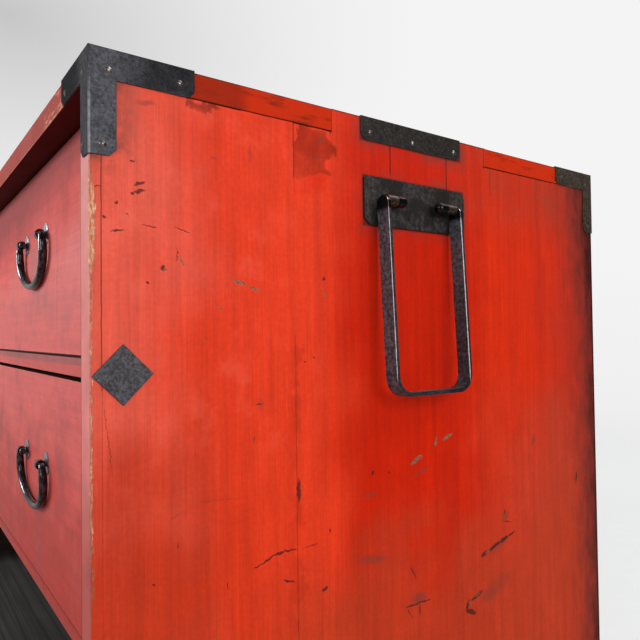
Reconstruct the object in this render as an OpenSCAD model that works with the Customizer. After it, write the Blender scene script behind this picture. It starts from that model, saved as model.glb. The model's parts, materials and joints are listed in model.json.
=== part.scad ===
// Small tansu chest: a red-lacquered travelling chest with two drawers over an open bay.
// Finger-jointed case, forged iron corners, swinging carry handles and bail drawer pulls.
// Frame: origin under the middle of the case, +X to the right side, -Y to the front, +Z up.

/* [Case] */
// Width over the two side panels
case_w = 720; // [640:1:820]
// Depth of the side panels, front edge to back edge
case_d = 400; // [380:1:440]
// Height, underside to top face
case_h = 445; // [430:1:480]
// Thickness of a side panel
side_t = 14.3; // [13:0.1:18]
// Thickness of the top board
top_t = 13; // [12:0.5:18]
// Thickness of the bottom board
bottom_t = 13; // [12:0.5:18]
// Thickness of the planks that close the back
back_t = 8; // [7:0.5:10]
// Length of the middle finger of each corner joint
finger_w = 134; // [110:1:160]
// Thickness of the strip that faces the front edge of a side panel
facing_t = 5.3; // [4:0.1:7]
// Distance from the front edge to the glued seam of a side panel
seam_y = 106.5; // [90:0.5:125]
// Radius that wear has put on the outer front corner of the facing
worn_r = 1.6; // [0.8:0.1:2.4]

/* [Front] */
// How far the drawers and rails sit behind the front edges of the case
recess = 14; // [11:0.5:16]
// Clear heights of the two drawer bays, from the top
bay_h = [125.5, 139.5]; // [120:0.5:145]
// Heights of the rails under the two drawer bays
rail_h = [11.1, 8]; // [7:0.1:13]
// Depth of a rail, front to back
rail_d = 26; // [20:1:40]
// Thickness of the dust board behind a rail
dust_t = 6; // [5:0.5:7]
// How deep rails and dust boards are housed in the side panels
housing = 5; // [3:0.5:7]

/* [Drawers] */
// Gap over each drawer front, from the top
drawer_gap = [1.4, 2.4]; // [1:0.1:3]
// Gap at each end of a drawer front
drawer_side_gap = 1; // [0.6:0.1:2]
// Gap under a drawer, so that it slides freely
drawer_run = 0.3; // [0.2:0.1:0.6]
// Thickness of a drawer front
front_t = 18; // [16:0.5:22]
// Thickness of drawer sides and backs
drawer_side_t = 9; // [8:0.5:12]
// Thickness of a drawer bottom
drawer_bottom_t = 7; // [6:0.5:8]
// Length of a drawer, front face to back
drawer_l = 366; // [340:1:366]

/* [Drawer pulls] */
// Distance of a pull's middle from the outside of the case
pull_in = 184; // [170:1:200]
// Distance of each drawer's pull axis below the top of the case
pull_down = [60.5, 209.3]; // [55:0.5:215]
// Distance between the two eyes of a pull
pull_span = 62; // [56:1:68]
// Distance of the pull axis from the drawer front
pull_out = 4; // [3.9:0.1:5]
// Greatest half width of the bail, on the middle of its bar
bail_half_w = 38.6; // [36:0.1:42]
// Drop of the bail's middle line below its axis
bail_drop = 31.8; // [28:0.1:36]
// Radius of the bail's pins, at its thickest and at its lowest point
bail_r = [1.6, 2.65, 2.35]; // [1.4:0.05:2.8]
// Lean of the hanging bail towards the drawer front, in degrees
bail_lean = 2.5; // [0:0.1:2.8]
// Diameter of the round washer under an eye
washer_d = 14.8; // [12:0.2:17]

/* [Carry handles] */
// Width and height of the handle's back plate
plate_size = [87, 29]; // [27:0.5:95]
// Distance of the pin axis below the top of the case
handle_down = 49; // [46:0.5:56]
// Distance of the pin axis from the side panel
handle_out = 6.8; // [6.6:0.1:9]
// Outer width of the handle's loop
handle_w = 64.4; // [58:0.1:72]
// Distance of the loop's middle behind the middle of the case's depth
handle_y = -3.5; // [-5:0.5:5]
// Drop from the pin axis to the underside of the loop
handle_drop = 115.9; // [100:0.1:125]
// Width and thickness of the flat bar
handle_bar = [9.6, 2.4]; // [2.2:0.1:10]
// Lean of the hanging loop away from the panel, in degrees
handle_lean = 3.2; // [2.2:0.1:4]
// Outer radius of the loop's lower corners
handle_corner = 12; // [8:0.5:14]

/* [Iron mounts] */
// Thickness of the sheet iron
iron_t = 0.6; // [0.5:0.1:1.4]
// Length of a corner bracket's arm along the top edge
arm_l = 49.5; // [44:0.5:56]
// Length of a corner bracket's arm down the side
arm_down = 47.5; // [42:0.5:54]
// Width of the arm along the top edge
arm_w = 13.3; // [11:0.1:15]
// Width of the arm down the side
arm_down_w = 11.8; // [10:0.1:14]
// Width of the edge strap over the middle of the side
strap_w = 86; // [74:1:96]
// Distance of the strap's middle behind the middle of the case's depth
strap_y = -3; // [-5:0.5:5]
// Diagonal of the square plate that stands on its point
diamond_d = 27.6; // [24:0.2:32]
// Cut at the corners of the plates
chamfer = 3.2; // [2:0.1:4]
// Diameter of a nail's domed head
nail_d = 3.2; // [2.6:0.1:5]

/* [Hidden] */
$fn = 48;
eps = 0.01;
hw = case_w / 2;
fy = -case_d / 2;
by = case_d / 2;
inner_w = case_w - 2 * side_t;
inner_hw = inner_w / 2;
run_fit = 0.05;
glue_gap = 0.3;

// Levels of the bays, from the top down: underside of what is above, and the top of its rail
bay_top = [case_h - top_t, case_h - top_t - bay_h[0] - rail_h[0]];
bay_floor = [for (i = [0:1]) bay_top[i] - bay_h[i]];

face_y = fy + recess;
rail_back = face_y + rail_d;
dust_back = by - back_t;
rabbet = 7;
groove = housing - 1;
stop_size = [44, dust_back - face_y - drawer_l - 0.4, 22];

// Drawer pieces
drawer_hw = inner_hw - drawer_side_gap;
box_hw = drawer_hw - 0.6;
front_lap = 10;
drawer_back = face_y + drawer_l;
side_drop = 7;
tail_n = 5;
eye_ring_r = 3.1;
eye_ring_l = 4.6;
eye_shank_r = 1.9;
bail_head_r = 2.4;
washer_rise = [0.4, 0.65, 0.8];
clinch = [3.6, 13, 1.3];

// Carry handle pieces
plate_y = -1;
plate_t = 1.2;
plate_cuts = [4, 4, 4, 1.4];
knuckle_r = 3.4;
knuckle_l = 8;
handle_pin_r = 2.2;
bulb_r = 3.7;
bulb_l = 8.2;
handle_shank_r = 2.6;
handle_clinch = [2, 9, 22];

// ---------- shared shapes ----------

// A box between two opposite corners
module span(low, high) {
  translate(low) cube(high - low);
}

// The same thing on the other side of the chest
module left() {
  mirror([1, 0, 0]) children();
}

// A rectangle from its low corner, its corners cut: low left, low right, high right, high left
module cut_rect(size, cuts) {
  polygon([
    [cuts[0], 0], [size.x - cuts[1], 0], [size.x, cuts[1]], [size.x, size.y - cuts[2]],
    [size.x - cuts[2], size.y], [cuts[3], size.y], [0, size.y - cuts[3]], [0, cuts[0]]
  ]);
}

// Flat work drawn in Y (first axis) and Z, standing on a side panel's outer face
module on_side(t, y, z) {
  translate([hw, y, z]) rotate([90, 0, 90]) linear_extrude(t) children();
}

// Flat work drawn in X and Z, standing on the front edges of the case
module on_front(t, x, z) {
  translate([x, fy, z]) rotate([90, 0, 0]) linear_extrude(t) children();
}

// A domed nail head whose flat underside is at the origin, pointing up
module nail() {
  rise = nail_d * 0.2;
  r = (pow(nail_d / 2, 2) + pow(rise, 2)) / (2 * rise);
  rotate_extrude() intersection() {
    translate([0, rise - r]) circle(r);
    square([nail_d, rise + 1]);
  }
}

// ---------- case ----------

// Housings for rails and dust boards, cut into the inner face of the right panel
module side_housings() {
  for (i = [0:1]) {
    span([inner_hw - eps, face_y + 5, bay_floor[i] - rail_h[i] + 1.5],
         [inner_hw + housing, rail_back - 3, bay_floor[i] - 1.5]);
    span([inner_hw - eps, rail_back, bay_floor[i] - dust_t],
         [inner_hw + groove, dust_back, bay_floor[i]]);
  }
}

module side_front_board() {
  color("#d8401f") difference() {
    span([inner_hw, fy + facing_t, bottom_t], [hw, fy + seam_y, case_h - top_t]);
    side_housings();
  }
}

module side_rear_board() {
  color("#cf3216") difference() {
    union() {
      span([inner_hw, fy + seam_y, bottom_t], [hw, by, case_h - top_t]);
      span([inner_hw, -finger_w / 2, 0], [hw, finger_w / 2, case_h]);
    }
    side_housings();
    // rabbet for the back planks
    span([inner_hw - eps, dust_back, bottom_t - 1], [inner_hw + rabbet, by + eps, case_h - top_t + 1]);
    // holes for the shanks of the handle's eyes, and pockets for their clinched ends
    for (s = [-1, 1]) handle_eye_at(s) {
      rotate([0, -90, 0]) cylinder(r = handle_shank_r + run_fit, h = 2 * side_t + 20);
      translate([-handle_out - side_t - eps, -handle_clinch.y / 2 - 0.2, -handle_clinch.z / 2 - 0.2])
        cube([handle_clinch.x + 0.3, handle_clinch.y + 0.4, handle_clinch.z + 0.4]);
    }
  }
}

// The front edge strip, with its outer front corner worn round
module side_facing() {
  color("#dd5a2c") translate([0, 0, bottom_t]) linear_extrude(case_h - top_t - bottom_t)
    difference() {
      translate([inner_hw, fy]) square([side_t, facing_t]);
      translate([hw - worn_r, fy - eps]) difference() {
        square([worn_r + 1, worn_r + eps]);
        translate([0, worn_r + eps]) circle(worn_r);
      }
    }
}

// A full-width board whose ends are notched round the side panels' middle fingers
module jointed_board(t) {
  difference() {
    span([-hw, fy, 0], [hw, by, t]);
    for (s = [-1, 1]) translate([s * (hw - side_t / 2 + eps), 0, t / 2])
      cube([side_t + 2 * eps, finger_w, t + 1], center = true);
  }
}

module top_board() {
  color("#c93a1e") translate([0, 0, case_h - top_t]) jointed_board(top_t);
}

module bottom_board() {
  color("#5a4436") jointed_board(bottom_t);
}

// One of three planks that close the back, counted from the bottom
module back_plank(i) {
  plank_h = (case_h - top_t - bottom_t) / 3;
  color("#7a5a44") span([-inner_hw - rabbet + glue_gap, dust_back, bottom_t + i * plank_h],
                        [inner_hw + rabbet - glue_gap, by, bottom_t + (i + 1) * plank_h - glue_gap]);
}

// A front rail with a blind tenon at each end
module rail(i) {
  low = bay_floor[i] - rail_h[i];
  color("#c2452f") union() {
    span([-inner_hw, face_y, low], [inner_hw, rail_back, bay_floor[i]]);
    span([-inner_hw - housing + glue_gap, face_y + 5, low + 1.5],
         [inner_hw + housing - glue_gap, rail_back - 3, bay_floor[i] - 1.5]);
  }
}

// The thin board that a drawer slides on, housed in the side panels
module dust_board(i) {
  color("#8a6b50") span([-inner_hw - groove + glue_gap, rail_back, bay_floor[i] - dust_t],
                        [inner_hw + groove - glue_gap, dust_back, bay_floor[i]]);
}

// Two blocks that stop a drawer flush with the rails
module stops(i) {
  color("#8a6b50") for (s = [-1, 1])
    translate([s * (inner_hw - 70) - stop_size.x / 2, dust_back - stop_size.y, bay_floor[i]])
      cube(stop_size);
}

// ---------- iron mounts ----------

// The angle that a bracket shows on a side panel, from the case's corner back and down
module bracket_angle(along, down, across, side) {
  polygon([
    [0, 0], [along, 0], [along, -across + chamfer], [along - chamfer, -across],
    [side, -across], [side, -down + chamfer], [side - chamfer, -down], [0, -down]
  ]);
}

// A corner bracket, folded over a top corner: side, front edge and top
module bracket() {
  color("#3b3b3d") union() {
    on_side(iron_t, fy, case_h) bracket_angle(arm_l, arm_down, arm_w, arm_down_w);
    on_front(iron_t, hw, case_h) mirror([1, 0]) bracket_angle(arm_l - 2, arm_down, top_t, arm_down_w);
    translate([hw, fy, case_h]) mirror([1, 0, 0]) linear_extrude(iron_t)
      mirror([0, 1]) bracket_angle(arm_l - 2, arm_l, arm_down_w, arm_w);
    // the folds between the three faces
    span([hw, fy - iron_t, case_h - arm_down], [hw + iron_t, fy, case_h + iron_t]);
    span([hw, fy, case_h], [hw + iron_t, fy + arm_l, case_h + iron_t]);
    span([hw - arm_l + 2, fy - iron_t, case_h], [hw, fy, case_h + iron_t]);
  }
}

module back_bracket() {
  mirror([0, 1, 0]) bracket();
}

// The strap folded over the middle of the side's top edge
module edge_strap() {
  color("#3b3b3d") union() {
    on_side(iron_t, strap_y - strap_w / 2, case_h - arm_w)
      cut_rect([strap_w, arm_w + iron_t], [chamfer, chamfer, 0, 0]);
    translate([hw - arm_w, strap_y + strap_w / 2, case_h]) rotate([0, 0, -90]) linear_extrude(iron_t)
      cut_rect([strap_w, arm_w + eps], [chamfer, chamfer, 0, 0]);
  }
}

module diamond_plate() {
  y = fy + diamond_d / 2 + 0.6;
  z = bay_floor[0] - rail_h[0] / 2 - 0.6;
  r = diamond_d / 2;
  color("#333335") on_side(iron_t, y, z) polygon([[r, 0], [0, r], [-r, 0], [0, -r]]);
}

// Nail heads on the right side's brackets and strap
module nails() {
  side_spots = [
    [fy + 8.3, 9], [fy + 41.8, 7.2], [fy + 5.7, 42.5],
    [by - 8.3, 9], [by - 41.8, 7.2], [by - 5.7, 42.5],
    [strap_y - 36, 8.6], [strap_y - 1, 9], [strap_y + 37, 8.4]
  ];
  edge_spots = [[7.9, 9.3], [39.6, 8.2], [8.3, 42]];
  top_spots = [[8, 8], [38, 6.5], [6, 42]];
  color("#454548") {
    for (p = side_spots) translate([hw + iron_t, p.x, case_h - p.y]) rotate([0, 90, 0]) nail();
    for (p = edge_spots) {
      translate([hw - p.x, fy - iron_t, case_h - p.y]) rotate([90, 0, 0]) nail();
      translate([hw - p.x, by + iron_t, case_h - p.y]) rotate([-90, 0, 0]) nail();
    }
    for (p = top_spots, s = [-1, 1]) translate([hw - p.x, s * (by - p.y), case_h + iron_t]) nail();
    for (y = [-34, 0, 34]) translate([hw - 7, strap_y + y, case_h + iron_t]) nail();
  }
}

// ---------- carry handles ----------

// Puts something at the pin axis of one end of the right handle, s = -1 at the front
module handle_eye_at(s) {
  inset = handle_bar.y + 0.4 + knuckle_l / 2;
  translate([hw + handle_out, handle_y + s * (handle_w / 2 - inset), case_h - handle_down])
    children();
}

module handle_plate() {
  color("#38383a") difference() {
    on_side(plate_t, plate_y - plate_size.x / 2, case_h - handle_down - plate_size.y / 2)
      cut_rect(plate_size, plate_cuts);
    for (s = [-1, 1]) handle_eye_at(s) rotate([0, -90, 0]) cylinder(r = handle_shank_r + run_fit, h = 20);
  }
}

// Two eyes: a knuckle bored for the handle's pin, on a shank that is clinched inside
module handle_eyes() {
  color("#4a4240") for (s = [-1, 1]) handle_eye_at(s) difference() {
    union() {
      rotate([90, 0, 0]) cylinder(r = knuckle_r, h = knuckle_l, center = true);
      rotate([0, -90, 0]) cylinder(r = handle_shank_r, h = handle_out + side_t - 0.2);
      translate([-handle_out - side_t + 0.2, -handle_clinch.y / 2, -handle_clinch.z / 2])
        cube([handle_clinch.x - 0.2, handle_clinch.y, handle_clinch.z]);
    }
    rotate([90, 0, 0]) cylinder(r = handle_pin_r + run_fit, h = knuckle_l + 1, center = true);
  }
}

// Outline of the loop: a U with round lower corners, from the pin axis down
module loop_outline(w, drop, r) {
  translate([-w / 2, -drop + r]) square([w, drop - r]);
  translate([-w / 2 + r, -drop]) square([w - 2 * r, r + 1]);
  for (s = [-1, 1]) translate([s * (w / 2 - r), -drop + r]) circle(r);
}

// The hanging loop of flat bar, its ends turned in as pins with peened bulbs
module carry_handle() {
  t = handle_bar.y;
  leg_top = handle_pin_r + 0.2 - handle_bar.x / 2;
  color("#4a3f44") translate([hw + handle_out, handle_y, case_h - handle_down])
    rotate([0, -handle_lean, 0]) union() {
      translate([-handle_bar.x / 2, 0, 0]) rotate([90, 0, 90]) linear_extrude(handle_bar.x)
        difference() {
          loop_outline(handle_w, handle_drop, handle_corner);
          loop_outline(handle_w - 2 * t, handle_drop - t, handle_corner - t);
          translate([-handle_w / 2 - 1, leg_top]) square([handle_w + 2, 1 - leg_top]);
        }
      for (s = [-1, 1]) {
        // rounded top end of the leg, just over its pin
        translate([0, s * (handle_w / 2 - t / 2), leg_top]) rotate([90, 0, 0])
          cylinder(r = handle_bar.x / 2, h = t, center = true);
        // pin through the knuckle, and its bulb
        translate([0, s * (handle_w / 2 - t + 0.2), 0]) rotate([s * 90, 0, 0])
          cylinder(r = handle_pin_r, h = knuckle_l + 1.5);
        translate([0, s * (handle_w / 2 - t - knuckle_l - 0.8), 0]) rotate([s * 90, 0, 0]) bulb();
      }
    }
}

// A bullet-shaped end, starting at the origin and pointing up
module bulb() {
  shank = bulb_l - bulb_r;
  cylinder(r = bulb_r, h = shank);
  translate([0, 0, shank]) sphere(bulb_r);
}

// ---------- drawers ----------

// Low and high levels of drawer i
function drawer_low(i) = bay_floor[i] + drawer_run;
function drawer_high(i) = bay_top[i] - drawer_gap[i];
function pull_z(i) = case_h - pull_down[i];

// Puts something at each of drawer i's four eyes
module at_eyes(i) {
  for (s = [-1, 1], e = [-1, 1])
    translate([s * (hw - pull_in) + e * pull_span / 2, face_y, pull_z(i)]) children();
}

module drawer_front(i) {
  color("#b8433c") difference() {
    span([-drawer_hw, face_y, drawer_low(i)], [drawer_hw, face_y + front_t, drawer_high(i)]);
    // laps for the sides and the bottom
    for (s = [-1, 1]) translate([s * drawer_hw, 0, 0])
      span([-drawer_side_t - 0.6, face_y + front_t - front_lap, drawer_low(i) - 1],
           [drawer_side_t + 0.6, face_y + front_t + 1, drawer_high(i) + 1]);
    span([-drawer_hw - 1, face_y + front_t - front_lap, drawer_low(i) - 1],
         [drawer_hw + 1, face_y + front_t + 1, drawer_low(i) + drawer_bottom_t]);
    at_eyes(i) rotate([-90, 0, 0]) translate([0, 0, -1])
      cylinder(r = eye_shank_r + run_fit, h = front_t + 2);
  }
}

// The fingers that a drawer side keeps at its back end
module tails(i, side) {
  low = drawer_low(i) + drawer_bottom_t;
  step = (drawer_high(i) - side_drop - low) / tail_n;
  for (k = [0:tail_n - 1]) if ((k % 2 == 0) == side)
    span([-1, drawer_back - drawer_side_t, low + k * step],
         [drawer_side_t + 1, drawer_back + 1, low + (k + 1) * step]);
}

module drawer_side(i) {
  low = drawer_low(i) + drawer_bottom_t;
  color("#b98a5e") difference() {
    span([box_hw - drawer_side_t, face_y + front_t - front_lap, low],
         [box_hw, drawer_back, drawer_high(i) - side_drop]);
    translate([box_hw - drawer_side_t, 0, 0]) tails(i, false);
  }
}

module drawer_back(i) {
  low = drawer_low(i) + drawer_bottom_t;
  color("#b08056") difference() {
    span([-box_hw, drawer_back - drawer_side_t, low],
         [box_hw, drawer_back, drawer_high(i) - side_drop]);
    for (s = [-1, 1]) translate([s * (box_hw - drawer_side_t / 2) - drawer_side_t / 2, 0, 0])
      intersection() {
        tails(i, true);
        span([s > 0 ? 0 : -1, fy, 0], [s > 0 ? drawer_side_t + 1 : drawer_side_t, by, case_h]);
      }
  }
}

module drawer_bottom(i) {
  color("#a97d55") span([-box_hw, face_y + front_t - front_lap, drawer_low(i)],
                        [box_hw, drawer_back, drawer_low(i) + drawer_bottom_t]);
}

// Domed round washers between the eyes and the drawer front
module pull_washers(i) {
  r = washer_d / 2;
  color("#8b8b8e") at_eyes(i) rotate([90, 0, 0]) rotate_extrude() polygon([
    [eye_shank_r + run_fit, 0], [r, 0], [r, washer_rise[0]], [r - 1.6, washer_rise[1]],
    [eye_shank_r + 1.6, washer_rise[2]], [eye_shank_r + run_fit, washer_rise[2]]
  ]);
}

// Eyes that carry the bails: a bored ring on a shank, its two legs clinched inside the drawer
module pull_eyes(i) {
  shank = pull_out + front_t + clinch.z;
  color("#2c2c2e") at_eyes(i) difference() {
    union() {
      translate([0, -pull_out, 0]) rotate([0, 90, 0])
        cylinder(r = eye_ring_r, h = eye_ring_l, center = true);
      translate([0, -pull_out, 0]) rotate([-90, 0, 0]) cylinder(r = eye_shank_r, h = shank);
      translate([-clinch.x / 2, front_t, -clinch.y]) cube([clinch.x, clinch.z, 2 * clinch.y]);
    }
    translate([0, -pull_out, 0]) rotate([0, 90, 0])
      cylinder(r = bail_r[0] + run_fit, h = eye_ring_l + 1, center = true);
  }
}

// A point on a cubic curve through p0 to p3 with handles p1 and p2
function cubic(p, t) = pow(1 - t, 3) * p[0] + 3 * pow(1 - t, 2) * t * p[1]
                     + 3 * (1 - t) * t * t * p[2] + pow(t, 3) * p[3];

// Middle line of half a bail, from its pin out, down and round to the bottom
shoulder = [[pull_span / 2 + 3.4, 0], [bail_half_w - 1, 0], [bail_half_w, -4], [bail_half_w, -10]];
belly = [[bail_half_w, -10], [bail_half_w, -0.7 * bail_drop], [0.6 * bail_half_w, -bail_drop],
         [0, -bail_drop]];
half_bail = concat([for (k = [0:5]) cubic(shoulder, k / 6)], [for (k = [0:12]) cubic(belly, k / 12)]);
bail_line = concat(half_bail, [for (k = [len(half_bail) - 2:-1:0]) [-half_bail[k].x, half_bail[k].y]]);
bail_n = len(bail_line);
bail_sides = 10;

// Bar radius: thin at the pins, full on the arms, a little slimmer at the bottom
function bar_r(k) =
  let (t = 1 - abs(2 * k / (bail_n - 1) - 1))
  t < 0.35 ? bail_r[0] + (bail_r[1] - bail_r[0]) * sin(t / 0.35 * 90)
           : bail_r[2] + (bail_r[1] - bail_r[2]) * (1 + cos((t - 0.35) / 0.65 * 180)) / 2;

function unit(v) = v / norm(v);
function bail_tangent(k) = unit(bail_line[min(k + 1, bail_n - 1)] - bail_line[max(k - 1, 0)]);

// The forged bar, a tapering tube along the middle line, in the plane of X and Z
module bail_bar() {
  rings = [for (k = [0:bail_n - 1]) let (t = bail_tangent(k), p = bail_line[k])
    for (a = [0:bail_sides - 1]) let (u = 360 * a / bail_sides, r = bar_r(k))
      [p.x - r * cos(u) * t.y, r * sin(u), p.y + r * cos(u) * t.x]];
  last = (bail_n - 1) * bail_sides;
  skin = [for (k = [0:bail_n - 2], a = [0:bail_sides - 1]) let (
      b = (a + 1) % bail_sides, p = k * bail_sides, q = p + bail_sides)
    each [[p + a, p + b, q + b], [p + a, q + b, q + a]]];
  caps = [[for (a = [bail_sides - 1:-1:0]) a], [for (a = [0:bail_sides - 1]) last + a]];
  polyhedron(rings, concat(skin, caps));
}

// One bail with its inward pins and their curled-over tips
module pull_bail(i, s) {
  tip = pull_span / 2 - eye_ring_l / 2 - 0.5;
  color("#1f1f21") translate([s * (hw - pull_in), face_y - pull_out, pull_z(i)])
    rotate([bail_lean, 0, 0]) union() {
      bail_bar();
      for (e = [-1, 1]) {
        translate([e * (tip - 4), 0, 0]) rotate([0, e * 90, 0])
          cylinder(r = bail_r[0], h = shoulder[0].x - tip + 4.6);
        translate([e * tip, 0, 0]) rotate([0, -e * 90, 0]) {
          cylinder(r = bail_head_r, h = bail_head_r);
          translate([0, 0, bail_head_r]) sphere(bail_head_r);
        }
      }
    }
}

// ---------- the nodes ----------

side_front_board();  // side_front_board_right
side_rear_board();  // side_rear_board_right
side_facing();  // side_facing_right
left() side_front_board();  // side_front_board_left
left() side_rear_board();  // side_rear_board_left
left() side_facing();  // side_facing_left
top_board();
bottom_board();
back_plank(2);  // back_plank_upper
back_plank(1);  // back_plank_middle
back_plank(0);  // back_plank_lower
rail(0);  // upper_rail
dust_board(0);  // upper_dust_board
stops(0);  // upper_stops
rail(1);  // lower_rail
dust_board(1);  // lower_dust_board
stops(1);  // lower_stops
bracket();  // front_bracket_right
left() bracket();  // front_bracket_left
back_bracket();  // back_bracket_right
left() back_bracket();  // back_bracket_left
edge_strap();  // edge_strap_right
left() edge_strap();  // edge_strap_left
diamond_plate();  // diamond_plate_right
left() diamond_plate();  // diamond_plate_left
handle_plate();  // handle_plate_right
left() handle_plate();  // handle_plate_left
handle_eyes();  // handle_eyes_right
left() handle_eyes();  // handle_eyes_left
carry_handle();  // carry_handle_right
left() carry_handle();  // carry_handle_left
nails();  // nails_right
left() nails();  // nails_left
drawer_front(0);  // upper_drawer_front
drawer_side(0);  // upper_drawer_side_right
left() drawer_side(0);  // upper_drawer_side_left
drawer_back(0);  // upper_drawer_back
drawer_bottom(0);  // upper_drawer_bottom
pull_washers(0);  // upper_pull_washers
pull_eyes(0);  // upper_pull_eyes
pull_bail(0, 1);  // upper_pull_bail_right
pull_bail(0, -1);  // upper_pull_bail_left
drawer_front(1);  // lower_drawer_front
drawer_side(1);  // lower_drawer_side_right
left() drawer_side(1);  // lower_drawer_side_left
drawer_back(1);  // lower_drawer_back
drawer_bottom(1);  // lower_drawer_bottom
pull_washers(1);  // lower_pull_washers
pull_eyes(1);  // lower_pull_eyes
pull_bail(1, 1);  // lower_pull_bail_right
pull_bail(1, -1);  // lower_pull_bail_left
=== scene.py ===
# %% [markdown]
# # A small red tansu chest
# This lesson dresses a chest whose pieces come ready from a CAD model. The chest is a finger-jointed
# softwood case under worn vermilion lacquer, with forged iron on its corners. Blender gives each piece its
# finish: lacquer, bare wood, sheet iron, forged bar. A few forged pieces are made again as smooth meshes.

# %% Load the frame
import json
import math
from types import SimpleNamespace

import bmesh
import bpy
from mathutils import Matrix, Vector


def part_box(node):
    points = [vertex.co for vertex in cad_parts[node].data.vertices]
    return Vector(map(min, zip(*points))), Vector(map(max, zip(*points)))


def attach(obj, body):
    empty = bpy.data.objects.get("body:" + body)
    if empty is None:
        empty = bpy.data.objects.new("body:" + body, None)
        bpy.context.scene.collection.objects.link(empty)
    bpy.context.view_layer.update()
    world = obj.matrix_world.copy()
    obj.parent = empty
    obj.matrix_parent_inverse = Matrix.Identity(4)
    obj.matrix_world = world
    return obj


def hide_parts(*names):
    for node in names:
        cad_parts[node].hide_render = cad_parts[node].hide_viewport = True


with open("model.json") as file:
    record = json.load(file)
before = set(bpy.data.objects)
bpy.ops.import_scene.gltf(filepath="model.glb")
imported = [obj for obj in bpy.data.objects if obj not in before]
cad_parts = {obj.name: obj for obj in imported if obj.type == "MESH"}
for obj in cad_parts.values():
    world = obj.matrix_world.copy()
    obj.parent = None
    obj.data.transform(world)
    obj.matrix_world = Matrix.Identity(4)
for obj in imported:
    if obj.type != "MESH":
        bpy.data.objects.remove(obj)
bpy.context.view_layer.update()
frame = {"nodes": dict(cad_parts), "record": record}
nodes = frame["nodes"]
MM = 0.001

# %% [markdown]
# ## The camera
# The photograph was taken close to the near top corner, from just in front of the case. A camera fitted to
# the case's edges gives its place, its heading and a 34 mm lens. The place is written from the corner, as a
# tape would measure it: 27 cm out to the side, 7 cm forward, 13 cm below the top.

# %% Camera
case_low = Vector(map(min, *(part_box(name)[0] for name in ("bottom_board", "top_board"))))
case_high = Vector(map(max, *(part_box(name)[1] for name in ("bottom_board", "top_board"))))
near_corner = Vector((case_high.x, case_low.y, case_high.z))
camera_offset = Vector((270.1, -73.1, -127.3)) * MM
heading, pitch, roll = (math.radians(angle) for angle in (54.0, 91.29, -0.68))

camera = bpy.data.objects.new("camera", bpy.data.cameras.new("camera"))
camera.data.lens = 34.02
camera.data.sensor_width = 36
turn = Matrix.Rotation(heading, 4, "Z") @ Matrix.Rotation(pitch, 4, "X") @ Matrix.Rotation(roll, 4, "Z")
camera.matrix_world = Matrix.Translation(near_corner + camera_offset) @ turn
camera.data.clip_start = 0.01
bpy.context.collection.objects.link(camera)
bpy.context.scene.camera = camera
print("camera at", [round(v, 3) for v in camera.location])

# %% [markdown]
# ## A helper for shader nodes, and one for colours
# Every finish below is a graph of nodes. One small function adds a node, sets its properties, fills its
# sockets with numbers or with other nodes' outputs, and hands back its first live output. Colours are
# written as sRGB hex, as they are picked, and turned to the linear values that Cycles wants.

# %% Helpers
def add(tree, kind, sockets=None, ramp=None, **settings):
    """Adds one shader node and returns its first live output."""
    made = tree.nodes.new("ShaderNode" + kind)
    for name, value in settings.items():
        setattr(made, name, value)
    live = [socket for socket in made.inputs if socket.enabled]
    for key, value in (sockets or {}).items():
        socket = live[key] if isinstance(key, int) else next(s for s in live if s.name == key)
        if isinstance(value, bpy.types.NodeSocket):
            tree.links.new(value, socket)
        else:
            socket.default_value = value
    for at, (position, colour) in enumerate(ramp or []):
        stops = made.color_ramp.elements
        stop = stops[at] if at < len(stops) else stops.new(position)
        stop.position = position
        stop.color = colour
    return next((socket for socket in made.outputs if socket.enabled), made)


def srgb(code):
    """An sRGB hex colour such as #d8401f as linear RGBA."""
    parts = [int(code[at:at + 2], 16) / 255 for at in (1, 3, 5)]
    return tuple(p / 12.92 if p <= 0.04045 else ((p + 0.055) / 1.055) ** 2.4 for p in parts) + (1.0,)


print("vermilion in linear light:", [round(v, 3) for v in srgb("#d8401f")])

# %% [markdown]
# ## Masks and coats
# A mask is a number from 0 to 1 that says where a coat lies. The helpers combine masks, lay one coat of
# colour over another, and turn one range of numbers into another. The studio uses them as well.

# %% Arithmetic
def numbers(tree, operation, result, *others):
    """Takes numbers together, one node for each after the first."""
    for other in others:
        result = add(tree, "Math", {0: result, 1: other}, operation=operation)
    return result


def sum_of(tree, *values):
    return numbers(tree, "ADD", *values)


def times(tree, *masks):
    return numbers(tree, "MULTIPLY", *masks)


def vectors(tree, operation, *values):
    """One step of vector arithmetic."""
    return add(tree, "VectorMath", dict(enumerate(values)), operation=operation)


def spread(tree, value, low, high, start=0.3, end=0.7):
    """A number from low to high; noise runs from 0.3 to 0.7, and a mask from 0 to 1."""
    return add(tree, "MapRange", {"Value": value, "From Min": start, "From Max": end,
                                  "To Min": low, "To Max": high})


def zone(tree, value, start, end):
    """0 at start and 1 at end, smoothly; start may be the larger."""
    return add(tree, "MapRange", {"Value": value, "From Min": start, "From Max": end},
               interpolation_type="SMOOTHSTEP")


print("arithmetic:", [made.__name__ for made in (sum_of, times, vectors, spread, zone)])


# %% Coats
def tinted(tree, under, over, *masks):
    """One coat of colour over another where all masks say; a colour may be hex or a node's output."""
    under, over = (srgb(coat) if isinstance(coat, str) else coat for coat in (under, over))
    return add(tree, "Mix", {"Factor": times(tree, *masks), "A": under, "B": over}, data_type="RGBA")


def shaded(tree, colour, *lights):
    """A colour made lighter or darker by one pattern or several."""
    return add(tree, "HueSaturation", {"Value": times(tree, *lights), "Color": colour})


def moved(tree, value, target, *masks):
    """A number, such as a roughness, moved to another where all masks say."""
    return add(tree, "Mix", {"Factor": times(tree, *masks), "A": value, "B": target}, data_type="FLOAT")


print("coats:", [made.__name__ for made in (tinted, shaded, moved)])

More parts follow.
